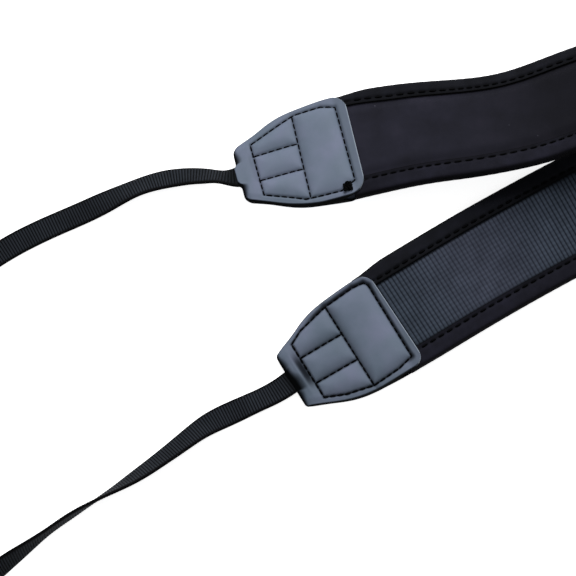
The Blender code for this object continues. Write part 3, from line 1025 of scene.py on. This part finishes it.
# %% Tab seams
UPPER_SEAMS = {
    "outline": ((8.9, 13.0), (31.3, 20.6), (43.4, 20.6), (49.6, 18.7), (50.0, -18.6),
                (42.8, -22.0), (25.7, -21.4), (8.0, -13.7), (8.9, 13.0)),
    "cross": ((30.3, 20.4), (28.0, -21.5)),
    "left_short": ((8.5, 6.7), (29.6, 6.3)),
    "right_short": ((7.9, -6.1), (28.8, -6.6)),
}
LOWER_SEAMS = {
    "outline": ((9.6, 14.1), (16.1, 17.2), (31.5, 20.4), (46.3, 21.0), (51.7, 20.3), (53.0, 18.3),
                (51.8, -20.3), (44.1, -22.0), (30.6, -22.3), (18.3, -19.0), (8.8, -14.5), (9.6, 14.1)),
    "cross": ((31.5, 20.4), (30.6, -22.3)),
    "left_short": ((9.4, 6.5), (31.0, 5.7)),
    "right_short": ((9.0, -7.0), (30.8, -8.1)),
}
TAB_STITCH_PITCH = 0.0034
TAB_STITCH_LENGTH = 0.0031


def segments(seams):
    """Every straight piece of every seam as its two ends, in metres: arrays of starts and ends."""
    lines = [np.array(line, dtype=float) * MM for line in seams.values()]
    return np.concatenate([line[:-1] for line in lines]), np.concatenate([line[1:] for line in lines])


def seam_distance(depth, across, seams):
    """(sum of distance^-4)^(-1/4) over the segments: the least distance, but with no ridges between seams."""
    starts, ends = segments(seams)
    spot = np.stack(np.broadcast_arrays(depth, across), axis=-1)[..., None, :]
    run = ends - starts
    share = np.clip(np.sum((spot - starts) * run, axis=-1) / np.sum(run * run, axis=-1), 0.0, 1.0)
    distance = np.linalg.norm(spot - starts - share[..., None] * run, axis=-1)
    return np.sum(np.maximum(distance, 1e-6) ** -4.0, axis=-1) ** -0.25


def within_outline(depth, across, seams):
    """Whether a point is inside the outline seam: it crosses it an odd number of times on its way out."""
    corners = np.array(seams["outline"], dtype=float) * MM
    depth, across = np.broadcast_arrays(depth, across)
    before, after = corners[:-1], corners[1:]
    low = depth[..., None] < before[:, 0]
    high = depth[..., None] < after[:, 0]
    climb = (across[..., None] - before[:, 1]) * (after[:, 0] - before[:, 0])
    run = (after[:, 1] - before[:, 1]) * (depth[..., None] - before[:, 0])
    beyond = (climb < run) == (after[:, 0] > before[:, 0])
    return np.sum((low != high) & beyond, axis=-1) % 2 == 1


for place, seams in (("upper", UPPER_SEAMS), ("lower", LOWER_SEAMS)):
    starts, ends = segments(seams)
    total = np.sum(np.linalg.norm(ends - starts, axis=1)) / MM
    print(f"Seams on the {place} tab, in mm: {total:.0f}")


# %% [markdown]
# ### The plies' outlines
#
# The four plies share their formulas, and a row of values for each tab sets them apart. A ply is narrow at
# the tail, widens towards the pad and has round corners. Its narrow end is cut at a slight slant, and the
# upper tab's leather runs out over its tail there in a short tongue. All that follows needs a point's
# distance to the nearest side and to each end, so these come first.

# %% Tab outlines
SELVEDGE = 0.0002
BESIDE_TAIL = (TAIL_HALF + SELVEDGE, 0.0022)
TONGUE_SIDE = (0.0030, 0.0026)
SHIFTED = (0.0, 0.015)


def tab_half_width(depth):
    """Half the leather's width before its corners: the outline table between the two end widths."""
    fullness = column_at(TAB_OUTLINE, 1, np.clip(depth, 0, TAB_LENGTH) / TAB_LENGTH)
    return TAB_NARROW_HALF + (TAB_WIDE_HALF - TAB_NARROW_HALF) * fullness


def rounding(distance, radius):
    """What a quarter circle takes off at a distance from its end: r - sqrt(r squared - (r - d) squared)."""
    left = radius - np.clip(distance, 0.0, radius)
    return radius - np.sqrt(radius**2 - left**2)


def over_tail(across):
    """1 over the tail and 0 beside it, where nothing keeps the plies apart."""
    return 1 - rise(np.abs(across), *BESIDE_TAIL)


def narrow_edge(tab, across):
    """Where the narrow end is cut: a slanting line, from which the tongue runs out over the tail."""
    tongue = tab["tongue"] * (1 - rise(np.abs(across), *TONGUE_SIDE))
    return tab["cut"] + tab["slant"] * across - tongue


def sideways(tab, depth):
    """How far the leather lies to the right of the strap's own middle."""
    return tab["shift"] * rise(depth, *SHIFTED)


def half_width(depth, left, tab):
    """Half the ply's width with its round corners taken off. left says which points lie on the left."""
    half = tab_half_width(depth) - rounding(depth, tab["narrow_corner"])
    left_corner, right_corner = tab["wide_corners"]
    to_wide = tab["length"] - depth
    return half - np.where(left, rounding(to_wide, left_corner), rounding(to_wide, right_corner))


def tab_edges(depth, across, tab):
    """Distance to the ply's side, to its narrow end and to its wide end."""
    across = across + sideways(tab, depth)
    to_side = half_width(depth, across > 0, tab) - np.abs(across)
    return to_side, depth - narrow_edge(tab, across), tab["length"] - depth


half_widths = tab_half_width(np.array([0.0, CROSS_SEAM, TAB_LENGTH])) * 1000
print("Half widths at the tail, the cross seam and the wide end in mm:", np.round(half_widths, 1))


# %% [markdown]
# ### The plies' undersides
#
# A ply's underside follows what lies inside the tab: the tail, then the pad's layers, then the tapes. At the
# sides and the narrow end nothing keeps the two plies apart, so they are pinched together there.

# %% Tab undersides
ONTO_PAD = (0.3 * CROSS_SEAM, 0.6 * CROSS_SEAM)
ONTO_TAPE = (TAPE_START - 0.0070, 0.0067)
PINCH_NARROW = 0.0045
PINCH_WIDE = 0.0014
PINCH_CHANGES = (0.022, 0.008)


def over_layers(depth):
    """A slow climb from the level over the tail to the level over the pad's layers."""
    return OVER_TAIL + (OVER_CORE - OVER_TAIL) * rise(depth, *ONTO_PAD)


def tab_inner_level(depth, across, tab):
    """The ply's underside: over the tail, then the pad's layers, then the tapes, and pinched at the sides."""
    across = across + sideways(tab, depth)
    reach = PINCH_NARROW + (PINCH_WIDE - PINCH_NARROW) * rise(depth, *PINCH_CHANGES)
    at_side = fade(tab_half_width(depth) - np.abs(across), reach)
    at_end = fade(depth, END_SEAM) * (1 - over_tail(across))
    pinch = 1 - (1 - at_side) * (1 - at_end)
    level = over_layers(depth) * (1 - pinch) + GAP / 2 * pinch
    return level + (OVER_TAPE - level) * rise(depth, *ONTO_TAPE)


onto_pad = over_layers(np.array([0.0, TAPE_START])) * 1000
print("An underside's level over the tail and over the pad in mm:", np.round(onto_pad, 2))


# %% [markdown]
# ### The plies' outer sides
#
# The outer side adds the leather, the pillows and the grooves, and its edges are pressed down and rounded.
# The lower tab's leather opens over its tail in a dark mouth, behind which it rises in a ridge and falls
# again into a valley beside the seam.

# %% Tab outer sides
PILLOW = 0.00130
PILLOW_REACH = 0.0036
RIM = 0.00015
GROOVE = 0.00060
GROOVE_REACH = 0.00060
EDGE_FALLS = (
    # how far the side, the narrow and the wide end are pressed down, how far in, and their rounding's radius
    (0.0006, 0.0040, 0.0006),
    (0.0009, 0.0035, 0.0007),
    (0.0007, 0.0040, 0.0003),
)
MOUTH_LEFT = 0.0028
MOUTH_RIGHT = 0.0052
MOUTH_DEEPENS = (0.0045, -0.0065)
RIDGE = (0.0052, 0.0014)
RIDGE_ACROSS = (0.0, 0.0100)
VALLEY_DEPTH = 0.0076
VALLEY = (VALLEY_DEPTH, 0.0013)
VALLEY_ACROSS = (0.0010, 0.0075)


def mouth_reach(across):
    """How deep the dark mouth over the tail reaches: 3 mm at the tail's left edge, and 5 mm at its right."""
    return MOUTH_LEFT + (MOUTH_RIGHT - MOUTH_LEFT) * rise(across, *MOUTH_DEEPENS)


def tab_outer_level(depth, across, tab):
    """A climb from tail to tape, + leather, + pillows within the outline, less grooves and pressed edges."""
    climb = rise(depth, CROSS_SEAM, TAPE_START - CROSS_SEAM)
    level = over_layers(depth) + (OVER_TAPE - OVER_CORE) * climb + LEATHER
    distance = seam_distance(depth, across, tab["seams"])
    height = np.where(within_outline(depth, across, tab["seams"]), PILLOW, RIM)
    level = level + height * (1 - hump(distance, 0.0, PILLOW_REACH, 1.5))
    level = level - GROOVE * hump(distance, 0.0, GROOVE_REACH)

    edges = tab_edges(depth, across, tab)
    ridge = 0.7 * hump(edges[1], *RIDGE) * hump(across, *RIDGE_ACROSS)
    level = level + tab["ridge"] * (ridge - hump(depth, *VALLEY) * hump(across, *VALLEY_ACROSS))
    over = over_tail(across)
    level = level - tab["mouth"] * over * fade(edges[1], mouth_reach(across))
    for to_edge, (press, reach, radius), free in zip(edges, EDGE_FALLS, (1 - climb, 1 - over, 1.0)):
        level = level - press * free * fade(to_edge, reach) - rounding(to_edge, radius)
    return level


def pressed_on_table(points):
    """The table presses flat whatever would sink into it."""
    points[..., 2] = np.maximum(points[..., 2], 0.1 * MM)
    return points


def along_pad(tab, depth):
    """How far along the pad a depth into the tab lies."""
    return tab["end"] + tab["inwards"] * depth


def ply_point(tab, face, depth, across):
    """A point on a ply's outer surface."""
    level = tab_outer_level(depth, across, tab)
    return pressed_on_table(pad.place(along_pad(tab, depth), across, face * level))


def out_of_ply(tab, face, depth):
    """The direction out of a ply at a depth into its tab."""
    return face * unit(pad.read(pad.out, along_pad(tab, depth)))


reaches = mouth_reach(np.array([TAIL_HALF, -TAIL_HALF])) * 1000
print("The mouth's reach at the tail's left and right edge in mm:", np.round(reaches, 1))


# %% [markdown]
# ### Ink, painted highlights and painted shade
#
# The ply's sides are inked black. Its shoulders are inked at the edge, and painted shade spreads the dark
# further in there, as it does in the mouth over the tail. The wide end is left without ink, and a painted
# highlight runs along its cut, where the rounded edge catches the light. The ply that lies underneath is
# inked farther in, so that no blue shows past the edge of the one above it. In each cell the leather dips
# away from the light towards the seam on its right, and painted shade helps the true shading there. The
# same painted shade darkens the seams, the rims outside the outline and the valley as well, and less so on
# the upper tab.

# %% Tab marks
CELL_REACH = 0.0028
SEAM_END = 0.002
MARK_SOFTNESS = 1.2
MOUTH_SOFTNESS = 1.35
# How far in the painted highlight on the wide cut reaches.
HIGHLIGHT_REACH = 0.00042
BARE_CORNER = 0.004
SHOULDER_LEAST = 0.0004
# How far painted shade spreads in over the shoulders.
SHOULDER_SHADE_REACH = 0.0014
SHOULDER_SIDE = (0.0046, 0.0016)
SHOULDER_MIDDLE = 0.007
SHOULDER_PEAK = (0.006, -0.006)
TOP_ACROSS = (0.004, 0.010)
TOP_DEPTH = (0.016, 0.010)
TOP_RIM = (0.0, 0.0018)
WIDE_DEPTH = (0.047, 0.004)
WIDE_RIM = (0.0, 0.0014)
LEAST_RIM = 0.08
DARK_VALLEY = (VALLEY_DEPTH, 0.0017)
DARK_VALLEY_ACROSS = (0.0010, 0.0084)


def cell_shade(depth, across, seams):
    """Where a cell dips away from the light: 1 at its right seam and just past the cross seam, 0 at 5 mm."""
    outline_right = tuple(corner for corner in seams["outline"] if corner[1] < 0)
    shade = 0.0
    for line in (outline_right, seams["left_short"], seams["right_short"]):
        ends = np.array(sorted(line)) * MM
        above = across - np.interp(depth, ends[:, 0], ends[:, 1])
        beside = rise(depth, ends[0, 0], SEAM_END) * rise(depth, ends[-1, 0], -SEAM_END)
        shade = most(shade, beside * (above > 0) * hump(above, 0.0, CELL_REACH, 1.5))
    ends = np.array(sorted(seams["cross"], key=lambda corner: corner[1])) * MM
    past = depth - np.interp(across, ends[:, 1], ends[:, 0])
    return most(shade, (past > 0) * hump(past, 0.0, CELL_REACH))


def edge_tags(depth, across, tab):
    """Ink at the sides, painted shade at shoulders and mouth, none by the wide end, and its painted highlight.
    """
    to_side, to_narrow, to_wide = tab_edges(depth, across, tab)
    sides = smooth(MARK_SOFTNESS - to_side / tab["ink"])
    peak = rise(np.abs(np.abs(across) - SHOULDER_MIDDLE), *SHOULDER_PEAK)
    shoulder_reach = SHOULDER_SHADE_REACH * (1 + peak) * rise(np.abs(across), *SHOULDER_SIDE)
    shoulders = smooth(MARK_SOFTNESS - to_narrow / (SHOULDER_LEAST + shoulder_reach))
    mouth = smooth(MOUTH_SOFTNESS - to_narrow / mouth_reach(across)) * (tab["mouth"] > 0)
    # Ink at the sides, and painted shade that spreads over the shoulders and into the mouth.
    paint = most(sides, shoulders, mouth * over_tail(across)) * smooth(to_wide / tab["bare"])
    # A painted highlight along the wide end's cut and corners, where the rounded edge catches the light.
    round_corner = to_side + BARE_CORNER * rise(to_wide, tab["bare"] / 2, BARE_CORNER)
    raw = smooth(MARK_SOFTNESS - np.minimum(to_wide, round_corner) / HIGHLIGHT_REACH)
    return {"paint": paint, "raw": raw}


def painted_shade_tag(depth, across, tab):
    """Painted shade, the most of: seams, valley, cells, and the darker rims outside the outline."""
    dull = tab["dull"]
    distance = seam_distance(depth, across, tab["seams"])
    seam = (0.5 + 0.5 * dull) * hump(distance, 0.0, 1.5 * tab["thread"])
    top_rim = dull * rise(across, *TOP_ACROSS) * rise(depth, *TOP_DEPTH) * hump(distance, *TOP_RIM, 4)
    everywhere, beside_seam = tab["band"]
    wide_rim = rise(depth, *WIDE_DEPTH) * (everywhere + beside_seam * hump(distance, *WIDE_RIM, 4))
    rim = most(top_rim, wide_rim, LEAST_RIM) * ~within_outline(depth, across, tab["seams"])
    valley = dull * hump(depth, *DARK_VALLEY, 4) * hump(across, *DARK_VALLEY_ACROSS, 4)
    return most(seam, rim, valley, (0.08 + 0.36 * dull) * cell_shade(depth, across, tab["seams"]))


# %% [markdown]
# ### The four plies
#
# Each ply is one grid, closed by its underside. In the table, cut and slant place the narrow end, shift is
# how far the leather lies to the right, thread is the stitches' radius, dull is how dark the painted shade
# is, and band is how dark the wide rim is everywhere and beside the seam. Ink is how far the ink reaches in
# from the sides, and bare is how much is left without it by the wide end.

# %% The four plies
tabs = {
    "lower": dict(end=0.0, inwards=1, seams=LOWER_SEAMS, length=0.0560, cut=0.0002, slant=0.033, tongue=0.0,
                  shift=0.0007, narrow_corner=0.0012, wide_corners=(0.0060, 0.0055), ridge=0.0008,
                  mouth=0.0009, dull=0.95, band=(0.33, 0.57), thread=0.00042),
    "upper": dict(end=PAD_LENGTH, inwards=-1, seams=UPPER_SEAMS, length=0.0545, cut=-0.0002, slant=0.050,
                  tongue=0.0013, shift=0.0006, narrow_corner=0.0026, wide_corners=(0.0060, 0.0085),
                  ridge=0.0001, mouth=0.0, dull=0.2, band=(0.27, 0.18), thread=0.00034),
}
UNDERNEATH = {"lower": "back", "upper": "front"}
SEEN_EDGES = {"ink": 0.0005, "bare": 0.0060}
UNDER_EDGES = {"ink": 0.0020, "bare": 0.0008}
PLY_ROWS = 131
PLY_COLUMNS = 101
CUT_REACH = 0.012


def leather_ply(name, tab, face):
    """The grid's rows and columns crowd towards the edges, where the leather is rounded."""
    spaced = np.linspace(0.0, 1.0, PLY_ROWS)
    rows = tab["length"] * (0.6 * (1 - np.cos(math.pi * spaced)) / 2 + 0.4 * spaced)[:, None]
    spaced = np.linspace(-1.0, 1.0, PLY_COLUMNS)
    columns = 0.5 * np.sin(spaced * math.pi / 2) + 0.5 * spaced
    across = columns * half_width(rows, columns > 0, tab) - sideways(tab, rows)
    depth = rows + narrow_edge(tab, across) * fade(rows, CUT_REACH)
    outer = ply_point(tab, face, depth, across)
    inner = pad.place(along_pad(tab, depth), across, face * tab_inner_level(depth, across, tab))
    # Painted shade, ink with painted shade, and a painted highlight.
    tags = {"crease": painted_shade_tag(depth, across, tab), **edge_tags(depth, across, tab)}
    return wall(name, outer, inner, (depth, across), leather_finish, tags)


for place, tab in tabs.items():
    for side, face in (("front", 1), ("back", -1)):
        edges = UNDER_EDGES if side == UNDERNEATH[place] else SEEN_EDGES
        ply = leather_ply(f"tab_{place}_{side}_leather", {**tab, **edges}, face)
        fitted(ply, "slate_leather", f"tab_{place}_{side}")


# %% [markdown]
# ### The tabs' stitches
#
# The seams' tables are followed again, now to lay threads on the finished surface. The lower tab was sewn
# with the bolder thread, so each tab has its own.

# %% Tab stitches
def tab_seam_line(tab, face, corners):
    """A seam's points on the leather, two to a millimetre, their distances, and the way out there."""
    corners = np.array(corners, dtype=float) * MM
    lengths = np.concatenate([[0.0], np.cumsum(np.linalg.norm(np.diff(corners, axis=0), axis=1))])
    along = np.linspace(0.0, lengths[-1], round(lengths[-1] / (0.5 * MM)) + 1)
    depth, across = read_between(along, lengths, corners).T
    return along, ply_point(tab, face, depth, across), out_of_ply(tab, face, depth)


for place, tab in tabs.items():
    seams = []
    for face in (1, -1):
        for corners in tab["seams"].values():
            seam_line = tab_seam_line(tab, face, corners)
            seams.append(stitch_points(*seam_line, TAB_STITCH_PITCH, TAB_STITCH_LENGTH, tab["thread"]))
    fitted(threads(f"tab_{place}_stitches", seams), "binding_tape")


# %% [markdown]
# ### The thread knot
#
# Where the upper tab's seam ends, the machine left a small tangle of thread. It is one thread that winds
# round an uneven figure of eight a few times, and its two ends stick out.

# %% Thread knot
KNOT_DEPTH = 0.0458
KNOT_ACROSS = -0.0212
KNOT_RADIUS = 0.0019
KNOT_TURNS = 3.3
KNOT_POINTS = 300


def thread_knot(tab, face):
    """along = r cos(2t), across = r sin(3t), and the height goes up and down with 5t; the ends stick out."""
    t = np.linspace(0.0, 2 * math.pi * KNOT_TURNS, KNOT_POINTS)
    stray = (0.75 + 0.25 * np.sin(0.61 * t)) * (1 + 0.7 * (np.abs(t / t[-1] - 0.5) * 2) ** 16)
    depth = KNOT_DEPTH + KNOT_RADIUS * stray * np.cos(2 * t + 0.5)
    across = KNOT_ACROSS + KNOT_RADIUS * stray * np.sin(3 * t)
    height = 0.0007 + 0.0005 * np.sin(5 * t)
    facing = out_of_ply(tab, face, depth)
    middle = ply_point(tab, face, depth, across) + facing * height[:, None]
    tube = thread_tubes(middle[None], facing[None], np.full((1, KNOT_POINTS), THREAD_RADIUS))
    return threads("thread_knot", [tube])


fitted(thread_knot(tabs["upper"], -1), "binding_tape")


# %% [markdown]
# ## The webbing tails
#
# A tail is a narrow webbing, ribbed on both faces. The same rib formula runs along its own route, which
# twists, so the two faces turn over between the tab and the cut end. The selvedges at its sides are rounded
# and plain. Shade is painted on the tails beside their tabs, under the leather, and at a few other places,
# and a short table says where.

# %% Tails
TAIL_RIB = 0.0013
TAIL_RIB_HEIGHT = 0.00028
TAIL_RIB_MIDDLE = 0.4
RIBS_END = (0.93, -0.12)
TAILS = (
    # place, route, length, and rows of where shade is painted on it, how far that reaches, and by what share
    ("lower", tail_lower, TAIL_LOWER_LENGTH, (
        (0.000, 0.0024, 0.80), (0.140, 0.0340, 0.42))),
    ("upper", tail_upper, TAIL_UPPER_LENGTH, (
        (0.000, 0.0090, 0.80), (0.019, 0.0100, 0.22), (0.066, 0.0180, 0.26), (0.124, 0.0160, 0.20))),
)


def webbing_tail(name, route, length, shades):
    """Level = half thickness + rib height x (rib - TAIL_RIB_MIDDLE), times the rounding of the sides."""
    along = rib_rows(route.along[0], length, TAIL_RIB)[:, None]
    share = mirrored(0.0, 0.35, 0.7, 0.86, 0.92, 0.97, 1.0)
    across = share * (TAIL_HALF + SELVEDGE)
    ribbed = rise(np.abs(share), *RIBS_END)
    rib = ribs(along, TAIL_RIB)
    rounded = np.sqrt(1 - np.clip((np.abs(share) - 0.86) / 0.15, 0.0, 1.0) ** 2)
    level = (TAIL_THICKNESS / 2 + TAIL_RIB_HEIGHT * (rib - TAIL_RIB_MIDDLE) * ribbed) * rounded
    outer, inner = (pressed_on_table(route.place(along, across, lift)) for lift in (level, -level))
    # Painted shade along the tail, where the table says.
    dark = sum(strength * hump(along, where, reach) for where, reach, strength in shades)
    return wall(name, outer, inner, (along, across), tail_finish, {"rib": rib * ribbed, "crease": dark})


for place, route, length, shades in TAILS:
    fitted(webbing_tail(f"tail_webbing_{place}", route, length, shades), "tail_webbing", f"tail_{place}")


# %% [markdown]
# ## The floor
#
# The photograph is a product shot on a white so bright that no shadow is left. A table of white acrylic, lit
# from below, does the same: its own glow fills the shadows, and only a trace stays right under the strap.

# %% Floor
def floor_material():
    """Nearly white, with a slow unevenness, and glowing."""
    glow = {"Emission Color": linear("#ffffff"), "Emission Strength": 0.8}
    matte = {"Roughness": 0.9, "Specular IOR Level": 0.1}
    finish, tree, shader, here = new_material("lit_white_acrylic", **glow, **matte)
    patches = add(tree, "TexNoise", {"Scale": 1 / (60 * MM), "Detail": 3.0}, {"Vector": here}).outputs["Fac"]
    shade = add(tree, "ValToRGB", {"stops": ((0.3, "#f7f7f7"), (0.7, "#fafafa"))}, {0: patches}).outputs[0]
    tree.links.new(shade, shader.inputs["Base Color"])
    return finish


FLOOR_HALF = 6.0
corners = np.array([(-1, -1, 0), (1, -1, 0), (1, 1, 0), (-1, 1, 0)]) * FLOOR_HALF
floor = mesh_object("floor", corners, np.array([[0, 1, 2, 3]]), floor_material())
print("Floor in metres:", 2 * FLOOR_HALF)


# %% [markdown]
# ## The light
#
# In the photograph the cells of the tabs are brighter towards the top of the picture, so the wide key light
# stands there, behind the strap and high up. A weak fill light faces it, and a pale sky gives light from all
# round. The view is set to Standard, which shows a colour as it was picked; a filmic view would grey the
# white and lift the blacks.

# %% Lights
LIGHTS = (
    # name, place, size, watts
    ("key_light", (0.10, 1.20, 1.15), 1.2, 35.0),
    ("fill_light", (-0.7, -0.9, 1.4), 1.2, 3.0),
)
SKY_STRENGTH = 0.30
for name, place, size, watts in LIGHTS:
    light = bpy.data.lights.new(name, "AREA")
    light.size = size
    light.energy = watts
    lamp = in_scene(name, light)
    lamp.visible_camera = False
    looking_at(lamp, Vector(place), Vector((0.0, 0.0, 0.0)))
world = bpy.data.worlds.new("pale_studio")
world.use_nodes = True
background = world.node_tree.nodes["Background"]
background.inputs["Color"].default_value = linear("#fafafa")
background.inputs["Strength"].default_value = SKY_STRENGTH
bpy.context.scene.world = world
bpy.context.scene.view_settings.view_transform = "Standard"
print("Lights:", [name for name, *_ in LIGHTS])
